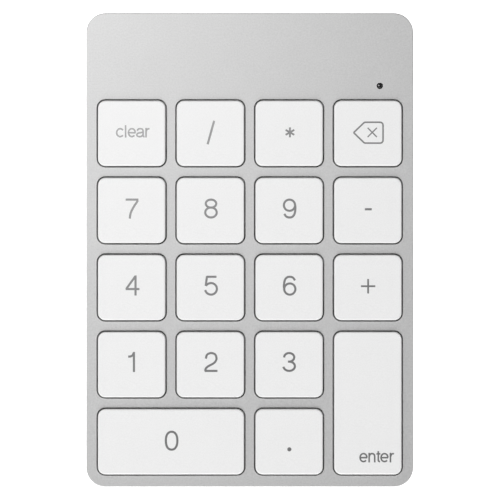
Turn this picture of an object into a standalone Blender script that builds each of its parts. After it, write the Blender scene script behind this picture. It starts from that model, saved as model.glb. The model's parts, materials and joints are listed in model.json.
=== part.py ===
"""A slim wireless numeric keypad: a wedge-shaped metal body with eighteen keys on scissor links.

Everything is modelled in the frame of the deck, the sloping top face that the keys come through:
x to the right, y towards the rear, z out of the deck, with z = 0 on its surface. One empty
tilts that frame, so that the feet stand on the world's z = 0. All lengths are in metres.
"""

from math import cos, pi, radians, sin, tan

import bmesh
import bpy
from mathutils import Matrix, Vector

# Body
BODY_WIDTH = 0.0792
BODY_LENGTH = 0.1148
BODY_CORNER = 0.00475
FRONT_HEIGHT = 0.0060
TILT = radians(2.5)
DECK = 0.0010
WALL = 0.0012
BODY_EDGE = 0.0003
FIT = 0.0003
OVERSHOOT = 0.0010
BITE = 0.0002
FULLEST_ROUND = 0.98

# Keys stand on a grid. FRONT_ROW is the middle of the row nearest the user.
PITCH_X = 0.01905
PITCH_Y = 0.01866
FRONT_ROW = -0.0464
CAP_WIDTH = 0.0164
CAP_LENGTH = 0.0160
CAP_CORNER = 0.0018
CAP_GAP = 0.00035
CAP_RISE = 0.00085
CAP_SKIRT = 0.0009
CAP_WALL = 0.0009
CAP_UNDER_ROOF = -0.0001
CAP_EDGE = 0.00015
CAP_RIB_WIDTH = 0.0080
CAP_RIB = 0.0006
CAP_RIB_DEPTH = 0.0010

# Layers under the keys, each from its top down
DOME_LAYER = (-0.0026, -0.00285)
CIRCUIT_LAYER = (-0.0031, -0.00335)
PLATE_LAYER = (-0.0036, -0.0040)
LAYER_WIDTH = 0.0730
LAYER_FRONT = -0.0549
LAYER_REAR = 0.0370
LAYER_CORNER = 0.0010
DOME_PROFILE = [(0.00325, -0.0027), (0.0027, -0.0019), (0.0016, -0.0011), (0.0015, -0.0004)]

# Scissor links: two frames that cross on their pivot pins
LINK_LENGTH = 0.0100
LINK_WIDTH = 0.0120
LINK_BAR = 0.0010
LINK_THICKNESS = 0.0007
LINK_LEAN = 0.145
LINK_MIDDLE = -0.0014
PIN_RADIUS = 0.00025

# Stabilizer wires of the two long keys. The zero key's wire lies along its front side, and the
# enter key's along its left side, this far from the middle of the key.
ZERO_WIRE_Y = -0.0065
ENTER_WIRE_X = -0.0067
WIRE_RADIUS = 0.00035
WIRE_PIVOT = -0.00205
WIRE_HALF = 0.0145
WIRE_ARM = 0.0075
WIRE_RISE = 0.00125
WIRE_HOOK = 0.0014
WIRE_BEND = 0.0008

# Bottom cover, feet and screws. These heights are measured up from the floor.
UNDERSIDE = 0.0007
BOTTOM_TOP = 0.0019
FOOT_RADIUS = 0.0040
FOOT_EDGE = 0.0002
FOOT_TOP = 0.0009
FOOT_RECESS_TOP = 0.0012
BOSS_RADIUS = 0.0015
SCREW_HOLE = 0.0010
SCREW_SHANK = 0.0007
SCREW_HEAD = 0.0013
HEAD_EDGE = 0.00015
HEAD_BOTTOM = 0.0008
HEAD_TOP = 0.0012
HEAD_RECESS_TOP = 0.0015
HEAD_RECESS = 0.0016
SCREW_IN_BOSS = 0.0030
RIB_LINES = (-0.0286, -0.0095, 0.0095, 0.0286)
RIB_SPAN = (-0.0380, 0.0360)
RIB_WIDTH = 0.0010

# Rear bay
BATTERY_X = (-0.0335, 0.0015)
BATTERY_Y = (0.0395, 0.0545)
BATTERY_HEIGHTS = (0.0022, 0.0068)
BATTERY_ROUND = 0.0008
BOARD_X = (0.0040, 0.0332)
BOARD_Y = (0.0386, 0.0546)
BOARD_TOP = -0.0063
BOARD_BOTTOM = -0.0073
BOARD_PARTS = {  # x from, x to, y from, y to, height above the board
    "radio_module": (0.0195, 0.0285, 0.0400, 0.0480, 0.0016),
    "tail_connector": (0.0070, 0.0170, 0.0429, 0.0460, 0.0012),
    "pairing_switch": (0.0280, 0.0320, 0.0512, 0.0544, 0.0033),
    "lamp": (0.0307, 0.0323, 0.0393, 0.0402, 0.0007),
}
TAIL_X = (0.0080, 0.0160)
TAIL_BENDS_Y = (0.0386, 0.0416)
TAIL_END_Y = 0.0426
TAIL_ABOVE_BOARD = 0.0006
POST_RADIUS = 0.0012
POST_PLACES = [(0.0065, 0.0410), (0.0065, 0.0520), (0.0250, 0.0410), (0.0315, 0.0520)]
PORT_Z = -0.0045
USB_X = 0.0105
USB_OUTER = (0.0089, 0.0032)
USB_SHELL = 0.0003
USB_Y = (0.0504, 0.0571)
TONGUE = (0.0064, 0.0007)
TONGUE_Y = (0.0511, 0.0563)
SWITCH_X = 0.0215
SWITCH_OUTER = (0.0086, 0.0032)
SWITCH_POCKET = (0.0056, 0.0019)
SWITCH_BACK = 0.0010
SWITCH_Y = (0.0504, 0.0544)
SLIDER = (0.0024, 0.0012)
SLIDER_Y = (0.0518, 0.0570)
SWITCH_TRAVEL = 0.0025
PAIRING_X = 0.0300
BUTTON_RADIUS = 0.0012
BUTTON_FLANGE = 0.0016
BUTTON_Y = (0.0553, 0.0558, 0.0571)
LAMP = (0.0315, 0.03975)
LAMP_RADIUS = 0.00065
LAMP_HOLE = 0.00085
LAMP_FLANGE = 0.0013
LAMP_Z = (-0.0052, -0.0014)

# name, column, row counted from the front, columns wide, rows deep
KEYS = [
    ("clear", 0, 4, 1, 1),
    ("divide", 1, 4, 1, 1),
    ("multiply", 2, 4, 1, 1),
    ("backspace", 3, 4, 1, 1),
    ("7", 0, 3, 1, 1),
    ("8", 1, 3, 1, 1),
    ("9", 2, 3, 1, 1),
    ("minus", 3, 3, 1, 1),
    ("4", 0, 2, 1, 1),
    ("5", 1, 2, 1, 1),
    ("6", 2, 2, 1, 1),
    ("plus", 3, 2, 1, 1),
    ("1", 0, 1, 1, 1),
    ("2", 1, 1, 1, 1),
    ("3", 2, 1, 1, 1),
    ("enter", 3, 0, 1, 2),
    ("0", 0, 0, 2, 1),
    ("decimal", 2, 0, 1, 1),
]


def key_place(column, row, wide, deep):
    """The middle of a key."""
    x = (column + (wide - 1) / 2 - 1.5) * PITCH_X
    y = FRONT_ROW + (row + (deep - 1) / 2) * PITCH_Y
    return x, y


def cap_size(wide, deep):
    return CAP_WIDTH + (wide - 1) * PITCH_X, CAP_LENGTH + (deep - 1) * PITCH_Y


# The front screws stand where four keys' corners meet, the rear ones beside the bay.
CROSSING_Y = FRONT_ROW + 1.5 * PITCH_Y
FRONT_SCREWS = [(-PITCH_X, CROSSING_Y), (PITCH_X, CROSSING_Y)]
REAR_SCREWS = [(-0.0352, 0.0529), (0.0352, 0.0529)]
FOOT_PLACES = {
    "front_left": (-0.0325, -0.0500),
    "front_right": (0.0325, -0.0500),
    "rear_left": (-0.0290, 0.0500),
    "rear_right": (0.0290, 0.0500),
}


def height(above_floor):
    """A level plane at this height: its z in the deck's frame, as a function of y."""
    deck_middle = FRONT_HEIGHT + BODY_LENGTH / 2 * sin(TILT)
    return lambda y: (above_floor - deck_middle - y * sin(TILT)) / cos(TILT)


def ring_point(x, y, z):
    """z is a number, or a function of y such as height() gives."""
    return Vector((x, y, z(y) if callable(z) else z))


def rounded_ring(width, length, radius, z, centre=(0, 0), segments=3):
    """A rectangle with round corners, as points that run counterclockwise."""
    points = []
    for quarter, (side_x, side_y) in enumerate([(1, 1), (-1, 1), (-1, -1), (1, -1)]):
        for step in range(segments + 1):
            angle = pi / 2 * (quarter + step / segments)
            x = centre[0] + side_x * (width / 2 - radius) + radius * cos(angle)
            y = centre[1] + side_y * (length / 2 - radius) + radius * sin(angle)
            points.append(ring_point(x, y, z))
    return points


def circle_ring(radius, z, centre=(0, 0), steps=12):
    angles = [2 * pi * step / steps for step in range(steps)]
    return [
        ring_point(centre[0] + radius * cos(a), centre[1] + radius * sin(a), z) for a in angles
    ]


def box(low, high):
    """A plain box between two opposite corners, as two rings."""
    corners = [(low[0], low[1]), (high[0], low[1]), (high[0], high[1]), (low[0], high[1])]
    return [[Vector((x, y, z)) for x, y in corners] for z in (low[2], high[2])]


def facing_rear(rings):
    """Turns rings drawn flat, so that their y becomes z and their z becomes y."""
    return [[Vector((p.x, p.z, p.y)) for p in ring] for ring in rings]


def facing_right(rings):
    """Turns rings drawn flat, so that their z becomes x."""
    return [[Vector((p.z, p.x, p.y)) for p in ring] for ring in rings]


def cup(outer, inner, closed_y, open_y, thickness, centre, radius):
    """A tube along y with one closed end, as one run of rings."""
    inner_radius = min(radius, inner[1] / 2 * FULLEST_ROUND)
    outer_radius = min(radius + thickness, outer[1] / 2 * FULLEST_ROUND)
    return facing_rear(
        [
            rounded_ring(*inner, inner_radius, closed_y + thickness, centre),
            rounded_ring(*inner, inner_radius, open_y, centre),
            rounded_ring(*outer, outer_radius, open_y, centre),
            rounded_ring(*outer, outer_radius, closed_y, centre),
        ]
    )


def add_walls(mesh, low, high):
    count = len(low)
    for i in range(count):
        after = (i + 1) % count
        mesh.faces.new((low[i], low[after], high[after], high[i]))


def loft_mesh(lofts, closed=False):
    """Solids that each run from ring to ring: with two flat ends, or back to the first ring."""
    mesh = bmesh.new()
    for rings in lofts:
        loops = [[mesh.verts.new(point) for point in ring] for ring in rings]
        for low, high in zip(loops, loops[1:]):
            add_walls(mesh, low, high)
        if closed:
            add_walls(mesh, loops[-1], loops[0])
        else:
            mesh.faces.new(reversed(loops[0]))
            mesh.faces.new(loops[-1])
    bmesh.ops.recalc_face_normals(mesh, faces=mesh.faces)
    data = bpy.data.meshes.new("shape")
    mesh.to_mesh(data)
    mesh.free()
    return data


def combined(base, joined=(), cut=()):
    """The base mesh with each mesh of joined added and each mesh of cut taken away."""
    shapes = [base, *joined, *cut]
    objects = [bpy.data.objects.new("working", shape) for shape in shapes]
    for made in objects:
        bpy.context.scene.collection.objects.link(made)
    for made in objects[1:]:
        step = objects[0].modifiers.new("combine", "BOOLEAN")
        step.object = made
        step.operation = "UNION" if made.data in joined else "DIFFERENCE"
    bpy.context.view_layer.update()
    evaluated = objects[0].evaluated_get(bpy.context.evaluated_depsgraph_get())
    result = bpy.data.meshes.new_from_object(evaluated)
    for made in objects:
        bpy.data.objects.remove(made)
    return result


def material(name, colour, roughness, metallic=0.0):
    made = bpy.data.materials.new(name)
    made.use_nodes = True
    shader = made.node_tree.nodes["Principled BSDF"]
    shader.inputs["Base Color"].default_value = (*colour, 1.0)
    shader.inputs["Roughness"].default_value = roughness
    shader.inputs["Metallic"].default_value = metallic
    return made


def add_node(name, data, finish, origin=(0, 0, 0)):
    """A named piece in the deck's frame. Its mesh is drawn around its origin."""
    made = bpy.data.objects.new(name, data)
    bpy.context.scene.collection.objects.link(made)
    made.parent = deck_frame
    made.location = origin
    if not data.materials:
        data.materials.append(finish)
    if made.type == "MESH":
        data.shade_smooth()
        data.set_sharp_from_angle(angle=radians(30))
    return made


def keycap_mesh(wide, deep):
    """A hollow cap, with two ribs under its roof that hold the ends of the scissor links."""
    width, length = cap_size(wide, deep)
    inner = (width - 2 * CAP_WALL, length - 2 * CAP_WALL, CAP_CORNER - CAP_WALL)
    top = (width - 2 * CAP_EDGE, length - 2 * CAP_EDGE, CAP_CORNER - CAP_EDGE)
    shell = [
        rounded_ring(*inner, CAP_UNDER_ROOF),
        rounded_ring(*inner, -CAP_SKIRT),
        rounded_ring(width, length, CAP_CORNER, -CAP_SKIRT),
        rounded_ring(width, length, CAP_CORNER, CAP_RISE - CAP_EDGE),
        rounded_ring(*top, CAP_RISE),
    ]
    near = LINK_LENGTH / 2 + FIT
    ribs = []
    for low_y in (near, -near - CAP_RIB):
        low = (-CAP_RIB_WIDTH / 2, low_y, CAP_UNDER_ROOF - CAP_RIB_DEPTH)
        high = (CAP_RIB_WIDTH / 2, low_y + CAP_RIB, CAP_UNDER_ROOF + BITE)
        ribs.append(box(low, high))
    return combined(loft_mesh([shell]), joined=[loft_mesh(ribs)])


def link_frame(width, lean):
    """One scissor link: a flat frame that leans about its middle."""
    turn = Matrix.Rotation(lean, 4, "X")
    half = LINK_THICKNESS / 2
    outer = (width, LINK_LENGTH, LINK_BAR / 2)
    inner = (width - 2 * LINK_BAR, LINK_LENGTH - 2 * LINK_BAR, LINK_BAR / 4)
    flat = [
        rounded_ring(*outer, -half, segments=1),
        rounded_ring(*outer, half, segments=1),
        rounded_ring(*inner, half, segments=1),
        rounded_ring(*inner, -half, segments=1),
    ]
    return loft_mesh([[[turn @ point for point in ring] for ring in flat]], closed=True)


def scissor_mesh():
    """The outer and the inner link, joined by the pins that they turn on."""
    outer = link_frame(LINK_WIDTH, LINK_LEAN)
    inner_width = LINK_WIDTH - 2 * LINK_BAR - 2 * FIT
    inner = link_frame(inner_width, -LINK_LEAN)
    far = LINK_WIDTH / 2 - LINK_BAR / 2
    near = inner_width / 2 - LINK_BAR / 2
    pins = []
    for ends in ((near, far), (-far, -near)):
        pins.append(facing_right([circle_ring(PIN_RADIUS, x, steps=6) for x in ends]))
    return combined(outer, joined=[loft_mesh(pins), inner])


def rounded_path(corners, radius, steps=3):
    """A line through the corners, with an arc of this radius at each one inside it."""
    path = [corners[0]]
    for before, corner, after in zip(corners, corners[1:], corners[2:]):
        back = (before - corner).normalized()
        ahead = (after - corner).normalized()
        half_angle = back.angle(ahead) / 2
        centre = corner + (back + ahead).normalized() * radius / sin(half_angle)
        start = corner + back * radius / tan(half_angle) - centre
        end = corner + ahead * radius / tan(half_angle) - centre
        for step in range(steps + 1):
            path.append(centre + start.slerp(end, step / steps) * radius)
    return path + [corners[-1]]


def stabilizer_curve(name, across_x):
    """A bent wire: a long bar on its pivot, and an arm with a hook at each end."""
    corners = []
    for side in (-1, 1):
        hook = Vector((side * (WIRE_HALF - WIRE_HOOK), WIRE_ARM, WIRE_RISE))
        tip = Vector((side * WIRE_HALF, WIRE_ARM, WIRE_RISE))
        root = Vector((side * WIRE_HALF, 0, 0))
        corners += [hook, tip, root] if side < 0 else [root, tip, hook]
    if not across_x:
        corners = [Vector((p.y, p.x, p.z)) for p in corners]
    path = rounded_path(corners, WIRE_BEND)
    curve = bpy.data.curves.new(name, "CURVE")
    curve.dimensions = "3D"
    curve.bevel_depth = WIRE_RADIUS
    curve.bevel_resolution = 2
    curve.use_fill_caps = True
    spline = curve.splines.new("POLY")
    spline.points.add(len(path) - 1)
    for point, place in zip(spline.points, path):
        point.co = (*place, 1.0)
    return curve


def top_cover_mesh():
    """The metal shell: a deck with a hole for each key, on walls that reach the underside."""
    inner = (BODY_WIDTH - 2 * WALL, BODY_LENGTH - 2 * WALL, BODY_CORNER - WALL)
    edge = (
        BODY_WIDTH - 2 * BODY_EDGE,
        BODY_LENGTH - 2 * BODY_EDGE,
        BODY_CORNER - BODY_EDGE,
    )
    shell = [
        rounded_ring(*inner, -DECK, segments=5),
        rounded_ring(*inner, height(UNDERSIDE), segments=5),
        rounded_ring(BODY_WIDTH, BODY_LENGTH, BODY_CORNER, height(UNDERSIDE), segments=5),
        rounded_ring(BODY_WIDTH, BODY_LENGTH, BODY_CORNER, -BODY_EDGE, segments=5),
        rounded_ring(*edge, 0, segments=5),
    ]
    bosses = []
    pilot_holes = []
    for place in FRONT_SCREWS + REAR_SCREWS:
        end = height(BOTTOM_TOP + FIT)(place[1])
        bosses.append([circle_ring(BOSS_RADIUS, z, place) for z in (end, -DECK + BITE)])
        hole_top = end + SCREW_IN_BOSS + FIT
        pilot_holes.append(
            [circle_ring(SCREW_HOLE, z, place) for z in (end - OVERSHOOT, hole_top)]
        )
    apertures = []
    for _, *span in KEYS:
        width, length = cap_size(*span[2:])
        hole = (width + 2 * CAP_GAP, length + 2 * CAP_GAP, CAP_CORNER + CAP_GAP)
        place = key_place(*span)
        apertures.append(
            [rounded_ring(*hole, z, place) for z in (-DECK - OVERSHOOT, OVERSHOOT)]
        )
    lamp_hole = [circle_ring(LAMP_HOLE, z, LAMP) for z in (-DECK - OVERSHOOT, OVERSHOOT)]
    rear = (BODY_LENGTH / 2 - WALL - OVERSHOOT, BODY_LENGTH / 2 + OVERSHOOT)
    usb_hole = (USB_OUTER[0] + 2 * FIT, USB_OUTER[1] + 2 * FIT, USB_OUTER[1] / 2)
    rear_holes = [
        [rounded_ring(*usb_hole, y, (USB_X, PORT_Z)) for y in rear],
        [rounded_ring(*SWITCH_POCKET, FIT, y, (SWITCH_X, PORT_Z)) for y in rear],
        [circle_ring(BUTTON_RADIUS + FIT, y, (PAIRING_X, PORT_Z)) for y in rear],
    ]
    cuts = apertures + pilot_holes + [lamp_hole] + [facing_rear(hole) for hole in rear_holes]
    return combined(loft_mesh([shell]), joined=[loft_mesh(bosses)], cut=[loft_mesh(cuts)])


def bottom_cover_mesh():
    """A level plate inside the walls, with ribs under the plate and posts under the board."""
    inset = 2 * (WALL + FIT)
    outline = (BODY_WIDTH - inset, BODY_LENGTH - inset, BODY_CORNER - WALL - FIT)
    plate = [rounded_ring(*outline, height(h), segments=4) for h in (UNDERSIDE, BOTTOM_TOP)]
    raised = []
    rib_length = RIB_SPAN[1] - RIB_SPAN[0]
    for x in RIB_LINES:
        middle = (x, sum(RIB_SPAN) / 2)
        foot = rounded_ring(
            RIB_WIDTH, rib_length, BITE, height(BOTTOM_TOP - BITE), middle, segments=1
        )
        top = rounded_ring(RIB_WIDTH, rib_length, BITE, PLATE_LAYER[1] - FIT, middle, segments=1)
        raised.append([foot, top])
    for place in POST_PLACES:
        foot = circle_ring(POST_RADIUS, height(BOTTOM_TOP - BITE), place)
        raised.append([foot, circle_ring(POST_RADIUS, BOARD_BOTTOM - FIT, place)])
    recesses = []
    for place in FOOT_PLACES.values():
        levels = (UNDERSIDE - OVERSHOOT, FOOT_RECESS_TOP)
        recesses.append(
            [circle_ring(FOOT_RADIUS + FIT, height(h), place, steps=24) for h in levels]
        )
    through = []
    for place in FRONT_SCREWS + REAR_SCREWS:
        levels = (UNDERSIDE - OVERSHOOT, HEAD_RECESS_TOP)
        recesses.append([circle_ring(HEAD_RECESS, height(h), place, steps=16) for h in levels])
        levels = (UNDERSIDE, BOTTOM_TOP + OVERSHOOT)
        through.append([circle_ring(SCREW_HOLE, height(h), place) for h in levels])
    return combined(
        loft_mesh([plate]),
        joined=[loft_mesh(raised)],
        cut=[loft_mesh(recesses), loft_mesh(through)],
    )


def layer_mesh(layer, extra=()):
    """One flat layer under the keys, with holes for the bosses that pass through it."""
    middle = (0, (LAYER_FRONT + LAYER_REAR) / 2)
    outline = (LAYER_WIDTH, LAYER_REAR - LAYER_FRONT, LAYER_CORNER)
    sheet = [rounded_ring(*outline, z, middle, segments=2) for z in reversed(layer)]
    levels = (layer[1] - OVERSHOOT, layer[0] + OVERSHOOT)
    holes = [
        [circle_ring(BOSS_RADIUS + FIT, z, place) for z in levels] for place in FRONT_SCREWS
    ]
    return combined(loft_mesh([sheet]), joined=extra, cut=[loft_mesh(holes)])


def domes_mesh():
    domes = []
    for _, *span in KEYS:
        place = key_place(*span)
        domes.append([circle_ring(radius, z, place) for radius, z in DOME_PROFILE])
    return loft_mesh(domes)


def tail_mesh():
    """The circuit's flat tail, which slopes down to the connector on the board."""
    top, bottom = CIRCUIT_LAYER
    thickness = top - bottom
    end = BOARD_TOP + TAIL_ABOVE_BOARD
    first_bend, second_bend = TAIL_BENDS_Y
    line = [
        (LAYER_REAR - OVERSHOOT, bottom),
        (first_bend, bottom),
        (second_bend, end),
        (TAIL_END_Y, end),
    ]
    rings = []
    for y, z in line:
        low = [Vector((x, y, z)) for x in TAIL_X]
        high = [Vector((x, y, z + thickness)) for x in reversed(TAIL_X)]
        rings.append(low + high)
    return loft_mesh([rings])


def board_mesh():
    """The circuit board with the parts soldered to it."""
    plate = box((BOARD_X[0], BOARD_Y[0], BOARD_BOTTOM), (BOARD_X[1], BOARD_Y[1], BOARD_TOP))
    solids = []
    for x_from, x_to, y_from, y_to, tall in BOARD_PARTS.values():
        low = (x_from, y_from, BOARD_TOP - BITE)
        solids.append(box(low, (x_to, y_to, BOARD_TOP + tall)))
    return combined(loft_mesh([plate]), joined=[loft_mesh(solids)])


def battery_mesh():
    """A flat cell that lies level on the bottom cover, with rounded long edges."""
    low, high = BATTERY_HEIGHTS
    middle = (sum(BATTERY_X) / 2, sum(BATTERY_Y) / 2)
    width = BATTERY_X[1] - BATTERY_X[0]
    length = BATTERY_Y[1] - BATTERY_Y[0]
    rings = []
    for inset, level in (
        (BATTERY_ROUND, low),
        (0, low + BATTERY_ROUND),
        (0, high - BATTERY_ROUND),
        (BATTERY_ROUND, high),
    ):
        size = (width - 2 * inset, length - 2 * inset)
        rings.append(rounded_ring(*size, BATTERY_ROUND, height(level), middle))
    return loft_mesh([rings])


def screw_mesh(place):
    """A pan-head screw from below, drawn around the point where its axis meets the deck."""
    x, y = place
    tip = height(BOTTOM_TOP + FIT)(y) + SCREW_IN_BOSS
    head_low = height(HEAD_BOTTOM)(y)
    head_high = height(HEAD_TOP)(y)
    profile = [
        (SCREW_HEAD - HEAD_EDGE, head_low),
        (SCREW_HEAD, head_low + HEAD_EDGE),
        (SCREW_HEAD, head_high),
        (SCREW_SHANK, head_high),
        (SCREW_SHANK, tip - SCREW_SHANK / 2),
        (SCREW_SHANK / 2, tip),
    ]
    return loft_mesh([[circle_ring(radius, z) for radius, z in profile]])


def foot_mesh(place):
    """A round rubber foot, drawn around the deck point above it."""
    drop = place[1]
    profile = [(FOOT_RADIUS - FOOT_EDGE, 0), (FOOT_RADIUS, FOOT_EDGE), (FOOT_RADIUS, FOOT_TOP)]
    rings = []
    for radius, level in profile:
        plane = height(level)
        rings.append(circle_ring(radius, lambda y, plane=plane: plane(y + drop), steps=24))
    return loft_mesh([rings])


for old in list(bpy.data.objects):
    bpy.data.objects.remove(old)

deck_frame = bpy.data.objects.new("deck_frame", None)
bpy.context.scene.collection.objects.link(deck_frame)

BODY_METAL = material("body_metal", (0.60, 0.60, 0.61), 0.42, 1.0)
KEY_PLASTIC = material("key_plastic", (0.86, 0.86, 0.85), 0.45)
LINK_PLASTIC = material("link_plastic", (0.70, 0.70, 0.68), 0.50)
DOME_RUBBER = material("dome_rubber", (0.75, 0.76, 0.74), 0.60)
CIRCUIT_FILM = material("circuit_film", (0.55, 0.60, 0.55), 0.30)
PLATE_STEEL = material("plate_steel", (0.50, 0.50, 0.50), 0.35, 1.0)
BASE_PLASTIC = material("base_plastic", (0.80, 0.80, 0.79), 0.50)
FOOT_RUBBER = material("foot_rubber", (0.45, 0.45, 0.45), 0.80)
SCREW_STEEL = material("screw_steel", (0.40, 0.40, 0.40), 0.30, 1.0)
BOARD_GREEN = material("board_green", (0.02, 0.14, 0.05), 0.45)
CELL_WRAP = material("cell_wrap", (0.35, 0.37, 0.40), 0.40)
PORT_STEEL = material("port_steel", (0.55, 0.55, 0.55), 0.30, 1.0)
BLACK_PLASTIC = material("black_plastic", (0.02, 0.02, 0.02), 0.40)
LAMP_PLASTIC = material("lamp_plastic", (0.01, 0.01, 0.01), 0.10)

cap_meshes = {}
scissor = scissor_mesh()
for name, *span in KEYS:
    shape = tuple(span[2:])
    if shape not in cap_meshes:
        cap_meshes[shape] = keycap_mesh(*shape)
    x, y = key_place(*span)
    add_node(f"keycap_{name}", cap_meshes[shape], KEY_PLASTIC, (x, y, 0))
    add_node(f"scissor_{name}", scissor, LINK_PLASTIC, (x, y, LINK_MIDDLE))

places = {name: key_place(*span) for name, *span in KEYS}
zero_x, zero_y = places["0"]
zero_pivot = (zero_x, zero_y + ZERO_WIRE_Y, WIRE_PIVOT)
add_node("stabilizer_0", stabilizer_curve("stabilizer_0", True), PLATE_STEEL, zero_pivot)
enter_x, enter_y = places["enter"]
enter_pivot = (enter_x + ENTER_WIRE_X, enter_y, WIRE_PIVOT)
add_node(
    "stabilizer_enter", stabilizer_curve("stabilizer_enter", False), PLATE_STEEL, enter_pivot
)

add_node("top_cover", top_cover_mesh(), BODY_METAL)
add_node("bottom_cover", bottom_cover_mesh(), BASE_PLASTIC)
add_node("dome_sheet", layer_mesh(DOME_LAYER, [domes_mesh()]), DOME_RUBBER)
add_node("membrane_circuit", layer_mesh(CIRCUIT_LAYER, [tail_mesh()]), CIRCUIT_FILM)
add_node("support_plate", layer_mesh(PLATE_LAYER), PLATE_STEEL)

add_node("circuit_board", board_mesh(), BOARD_GREEN)
add_node("battery", battery_mesh(), CELL_WRAP)
# The pieces at the ports are drawn around their own axes, which run along y.
port = (0, 0)
usb_inner = (USB_OUTER[0] - 2 * USB_SHELL, USB_OUTER[1] - 2 * USB_SHELL)
usb_shell = cup(USB_OUTER, usb_inner, *USB_Y, USB_SHELL, port, USB_OUTER[1] / 2)
add_node("usb_socket", loft_mesh([usb_shell]), PORT_STEEL, (USB_X, 0, PORT_Z))
half = (TONGUE[0] / 2, TONGUE[1] / 2)
tongue = box((-half[0], TONGUE_Y[0], -half[1]), (half[0], TONGUE_Y[1], half[1]))
add_node("usb_tongue", loft_mesh([tongue]), BLACK_PLASTIC, (USB_X, 0, PORT_Z))

housing = cup(SWITCH_OUTER, SWITCH_POCKET, *SWITCH_Y, SWITCH_BACK, port, FIT)
add_node("power_switch_housing", loft_mesh([housing]), BLACK_PLASTIC, (SWITCH_X, 0, PORT_Z))
slider = facing_rear([rounded_ring(*SLIDER, FIT, y) for y in SLIDER_Y])
slider_place = (SWITCH_X - SWITCH_TRAVEL / 2, 0, PORT_Z)
add_node("power_switch_slider", loft_mesh([slider]), BLACK_PLASTIC, slider_place)

inner_end, shoulder, outer_end = BUTTON_Y
button = facing_rear(
    [
        circle_ring(BUTTON_FLANGE, inner_end, steps=16),
        circle_ring(BUTTON_FLANGE, shoulder, steps=16),
        circle_ring(BUTTON_RADIUS, shoulder, steps=16),
        circle_ring(BUTTON_RADIUS, outer_end, steps=16),
    ]
)
add_node("pairing_button", loft_mesh([button]), BLACK_PLASTIC, (PAIRING_X, 0, PORT_Z))

lamp_low, lamp_shoulder = LAMP_Z
light_pipe = [
    circle_ring(LAMP_FLANGE, lamp_low),
    circle_ring(LAMP_FLANGE, lamp_shoulder),
    circle_ring(LAMP_RADIUS, lamp_shoulder),
    circle_ring(LAMP_RADIUS, 0),
]
add_node("light_pipe", loft_mesh([light_pipe]), LAMP_PLASTIC, (*LAMP, 0))

for where, place in zip(FOOT_PLACES, FRONT_SCREWS + REAR_SCREWS):
    add_node(f"screw_{where}", screw_mesh(place), SCREW_STEEL, (*place, 0))
for where, place in FOOT_PLACES.items():
    add_node(f"foot_{where}", foot_mesh(place), FOOT_RUBBER, (*place, 0))

# The deck's frame is tilted, then placed so that the body's outline is centred on the world's axes.
deck_frame.rotation_euler.x = TILT
rear_low = height(UNDERSIDE)(BODY_LENGTH / 2)
rear_reach = BODY_LENGTH / 2 * cos(TILT) - rear_low * sin(TILT)
front_reach = BODY_LENGTH / 2 * cos(TILT) - BODY_EDGE * sin(TILT)
deck_frame.location.y = (front_reach - rear_reach) / 2
deck_frame.location.z = FRONT_HEIGHT + BODY_LENGTH / 2 * sin(TILT)
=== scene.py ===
"""The looks of a slim wireless numeric keypad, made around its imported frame.

Every piece is drawn in the deck's frame, the frame of the sloping top face: x to the right, y
towards the rear, z out of the deck, with z = 0 on its surface. All lengths are in metres.
"""

import json
from math import atan2, cos, pi, radians, sin, tan

import bmesh
import bpy
from mathutils import Matrix, Vector


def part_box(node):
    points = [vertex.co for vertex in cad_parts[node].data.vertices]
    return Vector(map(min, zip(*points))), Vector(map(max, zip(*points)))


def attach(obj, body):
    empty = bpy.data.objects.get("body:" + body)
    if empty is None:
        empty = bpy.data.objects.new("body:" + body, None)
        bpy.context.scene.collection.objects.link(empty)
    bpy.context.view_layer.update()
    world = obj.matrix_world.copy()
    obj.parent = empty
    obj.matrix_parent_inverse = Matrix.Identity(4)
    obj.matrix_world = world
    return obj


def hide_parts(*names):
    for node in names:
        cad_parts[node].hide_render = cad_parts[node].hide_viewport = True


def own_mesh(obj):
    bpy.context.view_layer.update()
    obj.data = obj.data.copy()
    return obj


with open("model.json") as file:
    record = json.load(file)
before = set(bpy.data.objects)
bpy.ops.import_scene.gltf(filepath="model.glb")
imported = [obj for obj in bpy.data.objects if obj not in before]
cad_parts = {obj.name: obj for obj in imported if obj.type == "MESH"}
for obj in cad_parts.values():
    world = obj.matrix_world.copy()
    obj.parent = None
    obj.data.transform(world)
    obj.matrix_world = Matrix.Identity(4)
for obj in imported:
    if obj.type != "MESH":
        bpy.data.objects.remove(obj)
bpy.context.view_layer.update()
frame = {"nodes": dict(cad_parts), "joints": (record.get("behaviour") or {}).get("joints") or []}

# Sizes that the frame's boxes don't give
BODY_CORNER = 0.00475
BODY_FILLET = 0.00025
DECK = 0.0010
WALL = 0.0012
FIT = 0.0003
OVERSHOOT = 0.0010
BITE = 0.0002
RIM_CHAMFER = 0.00006
CAP_CORNER = 0.0018
CAP_CORNER_LOSS = CAP_CORNER * 0.6
CAP_GAP = 0.00032
# Width and length that the caps and their holes are drawn smaller by than in the CAD
CAP_TRIM = (0.00008, 0.00016)
CAP_WALL = 0.0009
CAP_ROOF = 0.00095
CAP_FILLET = 0.00037
CAP_HEM = 0.00012
SKIRT = 0.0009
RIB_WIDTH = 0.0080
RIB = 0.0006
RIB_DEPTH = 0.0010
SHARP_ANGLE = radians(35)


def deck_matrix():
    """From the deck's frame to the row frame, worked out from a key's axis and the top cover."""
    press = next(joint for joint in frame["joints"] if joint["name"] == "press_7")
    tilt = atan2(press["axis"][1], -press["axis"][2])
    level = Matrix.Rotation(-tilt, 4, "X")
    points = [level @ vertex.co for vertex in frame["nodes"]["top_cover"].data.vertices]
    depths = [point.y for point in points]
    middle = (min(depths) + max(depths)) / 2
    top = max(point.z for point in points)
    return Matrix.Rotation(tilt, 4, "X") @ Matrix.Translation((0, middle, top))


DECK_MATRIX = deck_matrix()


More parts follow.
